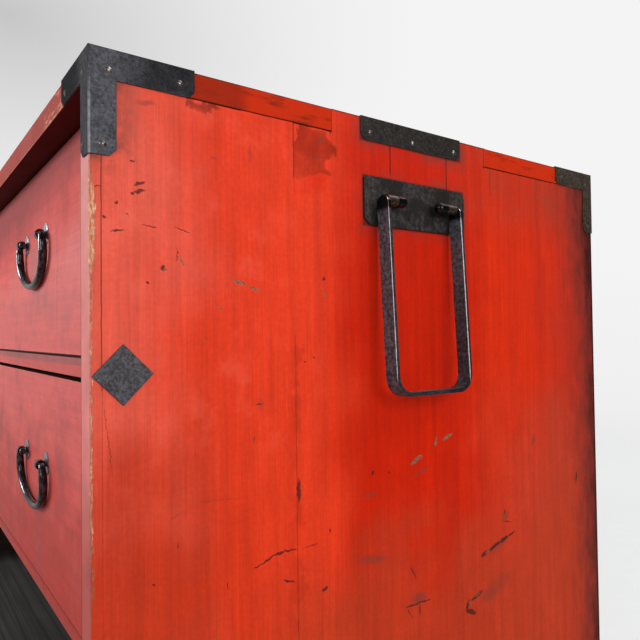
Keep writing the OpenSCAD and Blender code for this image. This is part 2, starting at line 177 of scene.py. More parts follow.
# %% [markdown]
# ## Studio: a pale room and soft light
# The photograph's background is a pale grey wall that darkens to its top left. What the camera and mirrors
# see is that wall, by the direction they look in. What lights the chest is an even glow, brighter from
# above than from the floor, with four soft boxes: one on the right side, one over the top, one from the
# front left, which puts the white glints on the pulls, and a weak one that fills the front. Together they
# show each colour about as written.

# %% World
def studio_world():
    world = bpy.data.worlds.new("pale_room")
    bpy.context.scene.world = world
    world.use_nodes = True
    tree = world.node_tree
    tree.nodes.clear()
    look = add(tree, "TexCoord").node.outputs["Generated"]
    split = add(tree, "SeparateXYZ", {"Vector": look}).node.outputs
    # how far to the right and how high the photograph's own view looks
    right = vectors(tree, "DOT_PRODUCT", look, (0.588, 0.809, 0.0))
    aside = add(tree, "MapRange", {"Value": right, "From Min": -0.416, "From Max": 0.194}, clamp=False)
    under = add(tree, "MapRange", {"Value": split["Z"], "From Min": 0.434, "From Max": 0.06}, clamp=False)
    corner = vectors(tree, "LENGTH", add(tree, "CombineXYZ", {"X": aside, "Y": under}))
    corner = add(tree, "Math", {0: 1.0, 1: corner}, operation="SUBTRACT", use_clamp=True)
    wall = times(tree, spread(tree, numbers(tree, "POWER", corner, 1.65), 0.905, 0.565, 0, 1),
                 spread(tree, split["Z"], 0.905, 1.0, -0.36, 0.12))
    # towards the right, behind the camera, the room is unlit, and polished iron mirrors that
    mirrored = times(tree, wall, spread(tree, zone(tree, split["X"], -0.05, 0.3), 0.5, 0.07, 0, 1))
    path = add(tree, "LightPath").node.outputs
    bounced = numbers(tree, "MAXIMUM", path["Is Glossy Ray"], path["Is Transmission Ray"])
    seen = add(tree, "Background", {"Color": moved(tree, mirrored, wall, path["Is Camera Ray"])})
    sky = spread(tree, zone(tree, split["Z"], -0.4, 0.4), 0.14, 0.56, 0, 1)
    glow = add(tree, "Background", {"Color": srgb("#f4f6fa"), "Strength": sky})
    seeing = numbers(tree, "MAXIMUM", bounced, path["Is Camera Ray"])
    either = add(tree, "MixShader", {0: seeing, 1: glow, 2: seen})
    add(tree, "OutputWorld", {"Surface": either})


studio_world()
print("world:", bpy.context.scene.world.name)


# %% Soft boxes
def soft_box(name, place, aim, size, watts):
    light = bpy.data.objects.new(name, bpy.data.lights.new(name, "AREA"))
    light.data.size = size
    light.data.energy = watts
    light.location = place
    light.rotation_euler = (Vector(aim) - Vector(place)).to_track_quat("-Z", "Y").to_euler()
    bpy.context.collection.objects.link(light)
    return light


side_middle = Vector((case_high.x, 0, 0.25))
soft_box("side_box", (2.1, 0.15, 0.8), side_middle, 1.2, 18)
soft_box("top_box", (0.9, 0.8, 1.9), (0.2, 0, 0.3), 1.3, 11)
soft_box("front_left_box", (-1.2, -1.6, 0.9), (0.2, case_low.y, 0.3), 0.7, 26)
soft_box("front_fill", (1.3, -2.0, 0.8), (0.2, case_low.y, 0.3), 1.0, 8)

# %% [markdown]
# ## Floor
# A plain pale floor carries the chest and its shadow in the views from further away. It is a large disc
# with a faint speckle, and it fades into the wall with distance, so no horizon shows. To bounced light it
# is darker than it looks, so that the underside of the boards stays as deep as in the photograph.

# %% Floor
def pale_floor():
    mesh = bpy.data.meshes.new("floor")
    bm = bmesh.new()
    bmesh.ops.create_circle(bm, cap_ends=True, segments=96, radius=9.0)
    bm.to_mesh(mesh)
    bm.free()
    floor = bpy.data.objects.new("floor", mesh)
    floor.location.z = case_low.z - 0.0002
    bpy.context.collection.objects.link(floor)
    material = bpy.data.materials.new("pale_floor")
    material.use_nodes = True
    tree = material.node_tree
    tree.nodes.clear()
    place = add(tree, "TexCoord").node.outputs["Object"]
    camera_ray = add(tree, "LightPath").node.outputs["Is Camera Ray"]
    speckle = add(tree, "TexNoise", {"Vector": place, "Scale": 40.0, "Detail": 3.0})
    colour = add(tree, "ValToRGB", {"Fac": speckle}, ramp=[(0.3, srgb("#e4e4e4")), (0.7, srgb("#e9e9e9"))])
    colour = tinted(tree, "#8c8a88", colour, camera_ray)
    surface = add(tree, "BsdfPrincipled", {"Base Color": colour, "Roughness": 0.8,
                                           "Specular IOR Level": 0.2})
    # most of what the camera sees is the wall's own grey, and the rest takes the chest's shadow
    even = add(tree, "Emission", {"Color": srgb("#fafafa")})
    surface = add(tree, "MixShader", {0: times(tree, camera_ray, 0.6), 1: surface, 2: even})
    fade = zone(tree, vectors(tree, "LENGTH", place), 0.6, 2.4)
    surface = add(tree, "MixShader", {0: fade, 1: surface, 2: add(tree, "BsdfTransparent")})
    add(tree, "OutputMaterial", {"Surface": surface})
    mesh.materials.append(material)


pale_floor()
print("floor at", round(case_low.z / MM, 1), "mm")

# %% [markdown]
# ## What every finish starts from
# A finish begins with an empty material, the piece's own coordinates in metres, and a Principled shader.
# The coordinates are the chest's, because each CAD piece has its place in its mesh, so a pattern's scale is
# worked out in millimetres and a stain can be put where the real one is. Stains are placed as they would be
# measured on the chest: so far in from the right, so far back from the front, so far below the top.

# %% Start and end of a finish
def new_finish(name):
    material = bpy.data.materials.new(name)
    material.use_nodes = True
    tree = material.node_tree
    tree.nodes.clear()
    return material, tree, add(tree, "TexCoord").node.outputs["Object"]


def close_finish(tree, sockets):
    """The Principled shader and the output, with everything that the finish has worked out."""
    add(tree, "OutputMaterial", {"Surface": add(tree, "BsdfPrincipled", sockets)})


def measures(tree, place):
    """Millimetres in from the right side, back from the front and down from the top."""
    split = add(tree, "SeparateXYZ", {"Vector": place}).node.outputs
    found = []
    for axis, zero, way in (("X", near_corner.x, -1), ("Y", near_corner.y, 1), ("Z", near_corner.z, -1)):
        found.append(add(tree, "MapRange", {"Value": split[axis], "From Min": zero, "From Max": zero + way,
                                            "To Min": 0.0, "To Max": 1 / MM}, clamp=False))
    return found


print("measured from the corner at", [round(v / MM, 1) for v in near_corner])


# %% Where a stain lies
def between(tree, value, low, high, soft):
    """1 from low to high, fading to 0 over soft on each side."""
    return times(tree, zone(tree, value, low - soft, low), zone(tree, value, high + soft, high))


def along_line(tree, value, at, half_width, soft):
    """1 on a line where the value is at, fading to 0."""
    off = add(tree, "Math", {0: sum_of(tree, value, -at)}, operation="ABSOLUTE")
    return zone(tree, off, half_width + soft, half_width)


def near_box(tree, place, low, high, reach):
    """1 inside a box and fading to 0 over reach, all in metres."""
    middle, half = (Vector(low) + Vector(high)) / 2, (Vector(high) - Vector(low)) / 2
    off = vectors(tree, "ABSOLUTE", vectors(tree, "SUBTRACT", place, middle))
    off = vectors(tree, "MAXIMUM", vectors(tree, "SUBTRACT", off, half), (0, 0, 0))
    return zone(tree, vectors(tree, "LENGTH", off), reach, 0.0)


def worn_edges(tree, reach):
    """1 on edges and 0 on flat faces: where a rounded normal departs from the face's own."""
    rounded = add(tree, "Bevel", {"Radius": reach}, samples=6)
    flat = add(tree, "NewGeometry").node.outputs["Normal"]
    return zone(tree, vectors(tree, "DOT_PRODUCT", rounded, flat), 0.985, 0.82)


def facing(tree, direction):
    """1 on faces that look in a direction of the chest, such as (0, 0, -1) for undersides."""
    flat = add(tree, "NewGeometry").node.outputs["True Normal"]
    return zone(tree, vectors(tree, "DOT_PRODUCT", flat, direction), 0.6, 0.8)


print("masks:", [made.__name__ for made in (between, along_line, near_box, worn_edges, facing)])


# %% Figure of wood, rust and dirt
def noise(tree, place, size, detail=4.0, roughness=0.5):
    """Noise whose blots are about so many metres across."""
    return add(tree, "TexNoise", {"Vector": place, "Scale": 1 / size, "Detail": detail,
                                  "Roughness": roughness})


def streaks(tree, place, along, width, length, detail=4.0, roughness=0.6, distortion=0.0):
    """Noise drawn out along one axis: width and length are in metres."""
    scale = [1 / width] * 3
    scale["XYZ".index(along)] = 1 / length
    drawn = add(tree, "Mapping", {"Vector": place, "Scale": scale})
    return add(tree, "TexNoise", {"Vector": drawn, "Scale": 1.0, "Detail": detail, "Roughness": roughness,
                                  "Distortion": distortion})


print("a thread of grain 0.7 mm wide has a scale of", round(1 / (0.7 * MM)))

# %% [markdown]
# ## Scars of the side panel
# The chest was carried and knocked for a century or so. Each mark that the photograph shows on the side is
# an ellipse at a real place: how far back from the front edge and how far below the top, its length, width
# and turn. A warp makes them ragged. Dark ones are dents filled with grime, pale ones show bare wood with
# dust in it, and smudges are soft stains on the lacquer. Each board takes only its own marks, because one
# shader can hold about forty of them.

# %% Scars, in millimetres: back, down, length, width, turn in degrees
DARK_SCARS = [
    (22, 58, 5.5, 1.7, 20), (22, 61.5, 5.5, 1.5, 15), (19, 63, 1.6, 1.4, 0), (3, 61.5, 5, 0.6, 5),
    (12, 80.5, 6, 1.0, 12), (27, 77, 7, 0.5, -6), (43, 77.5, 8, 0.6, -16), (12, 68, 1.6, 1.6, 0),
    (6, 75, 1.6, 1.4, 0), (19, 48, 2.4, 1.0, 0), (33, 96, 2.5, 1.8, 30), (40, 90, 7, 0.4, 85),
    (26, 103, 2, 1.2, 0), (84, 163, 5, 0.6, 5), (81, 181, 3, 0.7, 80), (7.6, 172, 30, 0.25, -83),
    (39.6, 225.7, 2.8, 0.8, 90), (27.7, 241, 1.3, 1.2, 0), (65.4, 250.4, 3.4, 0.8, 90),
    (83, 245, 6.5, 0.9, 16), (88.9, 243.1, 8.5, 1.1, 22), (95.3, 241.4, 7.5, 1.3, 5),
    (101.8, 241.3, 8.5, 1.2, -7), (101.3, 257.2, 8.7, 1.0, -21),
    (107.7, 211, 12, 2.6, 90), (126, 97, 2.2, 2.2, 0), (113, 142.5, 1.6, 1.2, 0), (119, 140.5, 1.4, 1.0, 0),
    (128.3, 235.9, 2.4, 0.8, 90), (116, 241.8, 8, 0.6, 0), (124.4, 267.2, 4.5, 1.8, 10),
    (258.8, 278, 7, 3.4, 16), (269.4, 275.2, 13, 2.6, 17), (279.8, 272.3, 10, 3.0, 14),
    (288.3, 270.2, 8, 1.4, 13), (250.5, 303.6, 12, 2.6, 18), (241, 307.3, 7, 3.0, 60),
    (243.8, 312.6, 11, 3.4, -27), (190.5, 294.1, 12, 1.3, -2), (200.4, 294.2, 11, 1.1, -5),
    (196.8, 298, 9, 0.8, 90), (188.2, 298.3, 8.4, 0.5, -54), (191.7, 274.4, 8.7, 0.9, -62),
    (280.3, 254, 6, 1.5, 41), (284.1, 261, 9, 0.8, -15), (160, 209, 3, 1.8, 80), (173, 211, 1.8, 1.6, 0),
    (371, 243, 9, 1.6, 75),
]
PALE_SCARS = [
    (73, 101, 9, 1.9, -12), (82, 104, 7, 1.7, -14), (16.5, 72.5, 1.3, 1.1, 0), (42.5, 92, 6, 0.9, -60),
    (34.5, 96.5, 1.6, 1.2, 0), (196, 206, 11, 2.8, 25), (213, 197, 7, 1.8, 75), (224, 195, 10, 2.2, 20),
    (243, 306.6, 3.4, 1.6, -55), (251, 303.2, 6, 0.8, 18), (62, 114, 7, 0.4, -40), (126, 105, 9, 0.6, -70),
    (262, 277.2, 5, 0.8, 17), (279, 255.5, 4, 0.8, 60), (54, 130, 1.2, 0.9, 0),
]
SMUDGES = [
    (26, 20, 11, 3.0, 8), (59.5, 40, 5, 1.8, 0), (80, 35, 3, 10, 0), (85, 163, 4, 8, 0),
    (125, 19, 8, 4.0, 40), (120, 29, 20, 1.6, 0), (158.7, 259, 27, 6.0, -9), (158, 221.3, 13, 4.5, -1),
    (200, 214, 18, 3.0, 20), (316, 208, 8, 5.0, 80), (282, 257, 11, 6.0, 50), (273, 275, 28, 8.0, 16),
    (60.5, 208, 25, 0.7, -5), (39, 211.4, 6, 1.2, 22), (270, 303, 38, 13.0, 18), (196, 291, 15, 9, 0),
]

BEHIND = 20 * MM  # how deep into the board a mark's ellipse goes
FAR_OFF = 9.0  # the answer for a board without such marks


def scars(tree, place, marks, board):
    """0 at the middle of the board's nearest mark and 1 at its edge."""
    nearest = None
    low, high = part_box(board)
    for back, down, length, width, angle in marks:
        middle = (near_corner.x, near_corner.y + back * MM, near_corner.z - down * MM)
        reach = (length / 2 + 1) * MM
        if not low.y - reach < middle[1] < high.y + reach:
            continue
        size = (BEHIND, length / 2 * MM, width / 2 * MM)
        local = add(tree, "Mapping", {"Vector": place, "Location": middle, "Scale": size,
                                      "Rotation": (math.radians(angle), 0, 0)}, vector_type="TEXTURE")
        off = vectors(tree, "LENGTH", local)
        nearest = off if nearest is None else numbers(tree, "MINIMUM", nearest, off)
    return nearest if nearest is not None else FAR_OFF


print("marks on the side:", len(DARK_SCARS) + len(PALE_SCARS) + len(SMUDGES))

# %% [markdown]
# ## Red lacquer
# The finish is iron-oxide and vermilion lacquer, brushed thin over softwood and rubbed by hands. It gives
# the eye a warm satin red in which the grain still shows as fine streaks. It is a dielectric, IOR 1.5. Its
# tones go by place: faded by light near the front edge, where the pale tone is also a painted sheen, vivid
# in the middle, deep where the handle kept hands off, and brown with old soot along the rear edge and round
# the iron, with a thin painted shade right at the edges of the strap and the handle's plate.

# %% Lacquer colours
# the faded tone also carries a painted sheen
FADED_AND_SHEEN, VIVID, DEEP, WARM, DULL = "#e65a45", "#e63c1c", "#cd2000", "#d82c08", "#c22f18"
SHEEN_PINK, SOOT, MAROON, BARE_WOOD = "#e8908c", "#2a1212", "#6c2a24", "#de9068"
GRIME_AND_SHADE, GREY_STAIN, DUST = "#42211e", "#6a3a32", "#8e6a54"
SIDE_WALL = 14.3  # thickness of a side panel, in millimetres
SEAM = 106.6  # where the side's two boards meet, back from the front
# each tone takes over from the last between two distances back from the front
TONES = [(VIVID, 10, 70), (DEEP, 112, 165), (WARM, 225, 275), (DULL, 300, 370)]
DEPTH = (case_high.y - case_low.y) / MM
print("from", FADED_AND_SHEEN, "at the front through", len(TONES), "tones, on a side", round(DEPTH), "mm deep")


# %% The side's red
def brushed_red(tree, place, back, down):
    """The side's red before any damage: its tones by place and its grain. Also gives the fine grain."""
    cloud = noise(tree, place, 60 * MM)
    blot = noise(tree, place, 17 * MM, detail=5.0, roughness=0.6)
    wander = sum_of(tree, back, spread(tree, cloud, -16, 16), spread(tree, blot, -5, 5))
    # near the front edge this pale tone also stands in for a painted sheen
    colour = FADED_AND_SHEEN
    for tone, start, end in TONES:
        colour = tinted(tree, colour, tone, zone(tree, wander, start, end))
    # low down the lacquer is a deeper red, pinker towards the back
    low_down = zone(tree, sum_of(tree, down, spread(tree, cloud, -25, 25)), 140, 235)
    colour = tinted(tree, colour, "#c0300f", low_down, zone(tree, back, 105, 25), 0.85)
    colour = tinted(tree, colour, "#b8442e", low_down, zone(tree, back, 210, 320), 0.55)
    foot = zone(tree, sum_of(tree, down, spread(tree, cloud, -30, 30)), 225, 300)
    colour = tinted(tree, colour, "#bc3c20", foot, zone(tree, back, 60, 130), 0.8)
    dusky = times(tree, zone(tree, down, 70, 25), zone(tree, wander, 215, 290))
    colour = tinted(tree, colour, "#9c3a26", dusky, spread(tree, blot, 0.1, 0.7))
    # broad bands and fine brushed threads of the grain, with faint brush marks across it
    fine = streaks(tree, place, "Z", 0.7 * MM, 38 * MM)
    thread = times(tree, spread(tree, fine, 0.91, 1.06),
                   spread(tree, streaks(tree, place, "Z", 2.6 * MM, 110 * MM, detail=3.0), 0.94, 1.05))
    bands = streaks(tree, place, "Z", 11 * MM, 240 * MM, detail=3.0, distortion=0.7)
    across = spread(tree, streaks(tree, place, "Y", 1.1 * MM, 26 * MM, detail=3.0), 0.988, 1.012)
    mottle = times(tree, spread(tree, blot, 0.93, 1.06),
                   spread(tree, noise(tree, place, 2.4 * MM, detail=3.0), 0.95, 1.05))
    colour = shaded(tree, colour, thread, spread(tree, bands, 0.88, 1.08), across, mottle)
    # rubbed patches, a little pinker, where hands reach
    rubbed = times(tree, zone(tree, blot, 0.5, 0.75), zone(tree, wander, 150, 60),
                   zone(tree, down, 215, 165))
    colour = tinted(tree, colour, "#e2705e", rubbed, 0.25)
    return colour, cloud, blot, fine


print("helper:", brushed_red.__name__)


# %% Age round the iron
def age_round_iron(tree, place, colour, back, down, cloud, blot):
    """Grey-violet bloom round the iron with a painted contact shade at its edges, specks, and soot on the
    edges.
    """
    bloom = times(tree, zone(tree, sum_of(tree, blot, times(tree, cloud, 0.5)), 0.62, 0.9), 0.75)
    for plate, reach, strength in (("front_bracket_right", 16, 1.0), ("edge_strap_right", 11, 0.8),
                                   ("handle_plate_right", 10, 0.7)):
        low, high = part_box(plate)
        if plate == "front_bracket_right":  # only its arm down the side
            high = Vector((high.x, low.y + 12 * MM, high.z))
        halo = near_box(tree, place, low, high, reach * MM)
        colour = tinted(tree, colour, GREY_STAIN, halo, bloom, strength)
    # a thin dark line right at the strap's and the plate's edges: painted contact shade
    for plate in ("edge_strap_right", "handle_plate_right"):
        colour = tinted(tree, colour, GRIME_AND_SHADE, near_box(tree, place, *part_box(plate), 1.6 * MM), 0.75)
    # scattered specks in the lacquer, thickest near the front bracket
    near_front = zone(tree, sum_of(tree, back, times(tree, down, 0.6)), 110, 30)
    speck = zone(tree, noise(tree, place, 2.6 * MM, detail=5.0, roughness=0.8), 0.66, 0.74)
    where = sum_of(tree, times(tree, near_front, spread(tree, blot, 0.1, 0.8)),
                   times(tree, zone(tree, cloud, 0.5, 0.7), 0.35))
    colour = tinted(tree, colour, GRIME_AND_SHADE, speck, where)
    # soot: a ragged band down the rear edge, wider near its top
    smoke = streaks(tree, place, "Z", 9 * MM, 22 * MM, detail=5.0, roughness=0.65)
    ragged = sum_of(tree, back, spread(tree, smoke, -9, 9), times(tree, zone(tree, down, 150, 20), 12))
    colour = tinted(tree, colour, MAROON, zone(tree, ragged, 356, 398), 0.85)
    colour = tinted(tree, colour, SOOT, zone(tree, ragged, 384, 412), 0.9)
    colour = tinted(tree, colour, SOOT, zone(tree, back, DEPTH - 3, DEPTH - 1), 0.9)
    return tinted(tree, colour, GRIME_AND_SHADE, zone(tree, down, 1.0, 0.4), 0.8)


print("soot:", SOOT, "over", MAROON)


# %% Joints, cracks and patches
def side_seams(tree, place, colour, back, down, board):
    """Dark joints and cracks that the photograph shows on one board."""
    shake = times(tree, noise(tree, place, 9 * MM, detail=3.0), 0.8)
    # where each line lies, its start, end and half width, all in millimetres, and its strength
    upright = {"side_front_board_right": [(106.9, 13, 42, 0.12, 0.35), (106.9, 130, 445, 0.12, 0.3)],
               "side_rear_board_right": [(107.3, 13, 42, 0.15, 0.45), (107.3, 130, 445, 0.12, 0.3),
                                         (177.5, 14, 30, 0.3, 0.8), (227.3, 13, 36, 0.3, 0.75),
                                         (272.0, 16, 31, 0.2, 0.35),
                                         (132.1, 0, 13, 0.25, 0.8), (265.6, 0, 13, 0.2, 0.6)],
               "side_facing_right": [(5.4, 20, 150, 0.12, 0.6)]}
    level = {"side_front_board_right": [(13.4, 46, 74, 0.3, 0.95), (13.4, 74, 107, 0.12, 0.7)],
             "side_rear_board_right": [(13.4, 106, 132, 0.35, 0.95), (13.4, 265, 345, 0.3, 0.85)]}
    for across, run, lines, tone, soft in ((back, down, upright, "#2a0a06", 3),
                                           (down, back, level, "#1c0805", 2)):
        shaken = sum_of(tree, across, shake)
        for at, start, end, half, strength in lines.get(board, []):
            line = along_line(tree, shaken, at, half, 0.3)
            line = times(tree, line, between(tree, run, start, end, soft), strength)
            colour = tinted(tree, colour, tone, line)
    return colour


def side_patches(tree, colour, back, down, blot):
    """Darker and lighter patches round the joints."""
    back_warp = sum_of(tree, back, spread(tree, blot, -7, 7))
    down_warp = sum_of(tree, down, spread(tree, blot, 5, -5))
    for low, high, top, low_edge, soft, tone, strength in (
        (108, 130, 14, 38, 2.5, "#8c1a00", 0.75), (111, 124, 42, 47, 5, "#dc2200", 0.7),
        (50, 60, 13.5, 15, 2.5, "#6a1400", 0.9), (103.5, 107, 136, 445, 2, "#b02610", 0.3),
    ):
        patch = times(tree, between(tree, back_warp, low - soft, high, soft),
                      between(tree, down_warp, top, low_edge, soft))
        patch = times(tree, patch, spread(tree, blot, 1.1, 0.45), strength)
        if low > SEAM:  # a patch on the rear board stops at the seam
            patch = times(tree, patch, zone(tree, back, SEAM - 0.4, SEAM + 0.2))
        colour = tinted(tree, colour, tone, patch)
    return colour


print("the boards meet", SEAM, "mm back")


# %% The bare corner
def bare_corner(tree, place, colour, inward, back, down):
    """The rubbed front corner: a strip of bare wood with ragged edges, widest 8 cm below the top."""
    width = times(tree, between(tree, down, 70, 88, 16), 1.2)
    rough = spread(tree, streaks(tree, place, "Z", 0.9 * MM, 7 * MM, detail=6.0, roughness=0.8), -1.1, 1.2)
    width = sum_of(tree, width, rough, 0.9)
    strip = zone(tree, sum_of(tree, inward, back, times(tree, width, -1.0)), 0.35, -0.15)
    flecks = streaks(tree, place, "Z", 0.8 * MM, 4 * MM, detail=4.0, roughness=0.7)
    strip = times(tree, strip, zone(tree, down, 46, 54), zone(tree, down, 262, 205),
                  spread(tree, flecks, 1.35, 0.45))
    # a dark rim along both edges of the strip: a painted shadow line
    rim_shadow = times(tree, strip, sum_of(tree, times(tree, strip, -1.0), 1.0), 1.8)
    tone = tinted(tree, BARE_WOOD, "#f4b894", zone(tree, noise(tree, place, 2.2 * MM), 0.45, 0.65))
    colour = tinted(tree, colour, tone, strip)
    return tinted(tree, colour, "#5c2414", rim_shadow)


print("bare wood:", BARE_WOOD)


# %% The side's lacquer
FACING = "side_facing_right"  # the strip on the side's front edge


def scarred(tree, place, colour, blot, relief, board):
    """The board's marks with ragged outlines, in its colour and its relief."""
    ragged = noise(tree, place, 2.0 * MM, detail=3.0).node.outputs["Color"]
    shift = vectors(tree, "SCALE", vectors(tree, "SUBTRACT", ragged, (0.5, 0.5, 0.5)), 2.6 * MM)
    warped = vectors(tree, "ADD", place, shift)
    stains = zone(tree, scars(tree, warped, SMUDGES, board), 1.2, 0.3)
    colour = tinted(tree, colour, GREY_STAIN, stains, spread(tree, blot, 0.15, 0.75))
    dents = zone(tree, scars(tree, warped, DARK_SCARS, board), 1.25, 0.7)
    chips = zone(tree, scars(tree, warped, PALE_SCARS, board), 1.15, 0.75)
    colour = tinted(tree, colour, GRIME_AND_SHADE, dents, 0.85)
    dusty = tinted(tree, DUST, "#5a4238", zone(tree, noise(tree, place, 1.3 * MM), 0.5, 0.6))
    colour = tinted(tree, colour, dusty, chips, 0.9)
    return colour, sum_of(tree, relief, times(tree, dents, -3.0), times(tree, chips, -1.5))


def side_lacquer(name, board=None):
    """The side's lacquer; a board's name brings the marks that lie on it."""
    material, tree, place = new_finish(name)
    inward, back, down = measures(tree, place)
    colour, cloud, blot, relief = brushed_red(tree, place, back, down)
    colour = age_round_iron(tree, place, colour, back, down, cloud, blot)
    if board:
        if board != FACING:
            colour = side_patches(tree, colour, back, down, blot)
        colour = side_seams(tree, place, colour, back, down, board)
        colour, relief = scarred(tree, place, colour, blot, relief, board)
    if board == FACING:
        # its front face is the front's pinker lacquer with a pale painted sheen, deeper lower down
        pink_sheen = tinted(tree, SHEEN_PINK, "#b8625c", zone(tree, down, 170, 235))
        pink_sheen = shaded(tree, pink_sheen, spread(tree, blot, 0.85, 1.08))
        colour = tinted(tree, colour, pink_sheen, facing(tree, (0, -1, 0)), 0.8)
        colour = bare_corner(tree, place, colour, inward, back, down)
    # the inner faces were never lacquered
    if board:
        outer = zone(tree, inward, SIDE_WALL - 0.3, SIDE_WALL - 1.0)
    else:
        inner_face = (case_high.x - case_low.x) / MM - SIDE_WALL
        outer = zone(tree, inward, inner_face + 0.3, inner_face + 1.0)
    colour = tinted(tree, "#382c26", colour, outer)
    bump = add(tree, "Bump", {"Height": relief, "Distance": 0.12 * MM, "Strength": 0.5})
    worn = spread(tree, cloud, 0.42, 0.54)
    close_finish(tree, {"Base Color": colour, "Roughness": worn, "Normal": bump, "IOR": 1.5,
                        "Specular IOR Level": 0.08})
    return material


side_lacquers = {board: side_lacquer("vermilion_lacquer_" + board, board + "_right")
                 for board in ("side_front_board", "side_rear_board", "side_facing")}
left_lacquer = side_lacquer("vermilion_lacquer_left_side")
for board, lacquer in side_lacquers.items():
    print(board, "nodes:", len(lacquer.node_tree.nodes))

# %% [markdown]
# ## Front lacquer
# The drawer fronts, rails and top board carry the same lacquer, with the grain running across.
# They were handled more and have gone a pinker red with a higher polish, which catches the pale room at the
# low angle that the photograph looks from. Lower down the red is darker, and rough from knocks.

# %% Front lacquer: its coats and its finish
UPPER_GAP, LOWER_GAP = (137.6, 139.0), (287.5, 290.0)  # dark gaps below the drawers, down from the top
GAP_SHADE_BLACK = "#0c0504"


def cross_lacquer(name, high_hex, low_hex, polish, gloss, film=0.4):
    """Lacquer over grain that runs across, before its own stains."""
    material, tree, place = new_finish(name)
    inward, back, down = measures(tree, place)
    fine = streaks(tree, place, "X", 0.9 * MM, 45 * MM)
    broad = streaks(tree, place, "X", 10 * MM, 200 * MM, detail=3.0, distortion=0.8)
    cloud = noise(tree, place, 40 * MM)
    blot = noise(tree, place, 9 * MM, detail=5.0, roughness=0.65)
    colour = tinted(tree, high_hex, low_hex,
                    zone(tree, sum_of(tree, down, spread(tree, cloud, -25, 25)), 165, 270))
    colour = shaded(tree, colour, spread(tree, broad, 0.88, 1.07), spread(tree, fine, 0.93, 1.05),
                    spread(tree, blot, 0.9, 1.07))
    # grey-violet smudges where hands and smoke left a film, and small knocks
    colour = tinted(tree, colour, "#8a5052", zone(tree, cloud, 0.5, 0.72), film)
    knock = zone(tree, streaks(tree, place, "X", 1.6 * MM, 5 * MM, detail=3.0), 0.64, 0.74)
    colour = tinted(tree, colour, "#6a1c16", knock, zone(tree, down, 60, 200), 0.6)
    return SimpleNamespace(material=material, tree=tree, place=place, inward=inward, back=back, down=down,
                           colour=colour, fine=fine, cloud=cloud, polish=polish, gloss=gloss)


def finish_cross(coat, crack=None, gap_shade=None, underside="#4a0804", dull=None):
    """Rubs the edges, paints shade on the undersides and in the gaps, and closes the finish."""
    tree, down = coat.tree, coat.down
    above_low_gap = zone(tree, down, LOWER_GAP[0] - 1.5, LOWER_GAP[0] - 7.5)
    colour = tinted(tree, coat.colour, "#b86a50", worn_edges(tree, 0.7 * MM),
                    spread(tree, coat.cloud, 0.1, 0.5), above_low_gap)
    # faces that look down are painted a dark shade
    colour = tinted(tree, colour, underside, facing(tree, (0, 0, -1)), 0.97)
    relief = coat.fine
    worn = spread(tree, coat.cloud, coat.polish, coat.polish + 0.12)
    if crack is not None:
        relief = sum_of(tree, relief, times(tree, crack, -1.0))
    if dull is not None:
        worn = moved(tree, worn, 0.85, dull)
    # the gaps by the drawers are painted a near-black shade, and made fully rough
    if gap_shade is not None:
        colour = tinted(tree, colour, GAP_SHADE_BLACK, gap_shade, 0.96)
        worn = moved(tree, worn, 1.0, gap_shade)
    bump = add(tree, "Bump", {"Height": relief, "Distance": 0.1 * MM, "Strength": 0.4})
    close_finish(tree, {"Base Color": colour, "Roughness": worn, "Normal": bump, "IOR": 1.5,
                        "Specular IOR Level": coat.gloss})
    return coat.material


print("gaps below the drawers:", UPPER_GAP, LOWER_GAP)


# %% Drawer fronts
def drawer_lacquer():
    coat = cross_lacquer("faded_lacquer_front", "#de5a54", "#bc382e", 0.38, 0.22)
    tree, place, inward, down, colour = coat.tree, coat.place, coat.inward, coat.down, coat.colour
    # a violet painted shadow under the top board, and painted shade in the gap below each drawer
    under_top = sum_of(tree, down, times(tree, inward, -0.08), spread(tree, coat.cloud, -10, 10))
    colour = tinted(tree, colour, "#6a343a", zone(tree, under_top, 52, 5), 0.6)
    dull = sum_of(tree, zone(tree, under_top, 85, 30), between(tree, down, *LOWER_GAP, 0.4))
    colour = tinted(tree, colour, "#5c1c18", between(tree, down, *LOWER_GAP, 0.5), 0.45)
    gap_shade = between(tree, down, *UPPER_GAP, 0.4)
    # a fine upright crack, with arcs in the grain where it meets a knot
    shake = times(tree, noise(tree, place, 14 * MM, detail=3.0), 3.0)
    crack = along_line(tree, sum_of(tree, inward, shake), 124.2, 0.25, 0.5)
    crack = times(tree, crack, between(tree, down, 62, 120, 4), 0.55)
    colour = tinted(tree, colour, "#6a2422", crack)
    middle, size = near_corner - Vector((120.5, 0, 97)) * MM, (9 * MM, 50 * MM, 5 * MM)
    knot = add(tree, "Mapping", {"Vector": place, "Location": middle, "Scale": size}, vector_type="TEXTURE")
    knot = vectors(tree, "LENGTH", knot)
    ring = add(tree, "Math", {0: sum_of(tree, times(tree, knot, 9.0), shake)}, operation="SINE")
    colour = tinted(tree, colour, "#a84a48", zone(tree, ring, 0.55, 0.95), zone(tree, knot, 2.4, 0.8), 0.3)
    # its upper edge is bare wood, brown from hands
    coat.colour = tinted(tree, colour, "#3a2018", facing(tree, (0, 0, 1)))
    return finish_cross(coat, crack, gap_shade, dull=dull)


front_lacquer = drawer_lacquer()
print(front_lacquer.name, "nodes:", len(front_lacquer.node_tree.nodes))


# %% Top board
TOP_BOARD = 12.9  # its thickness, in millimetres


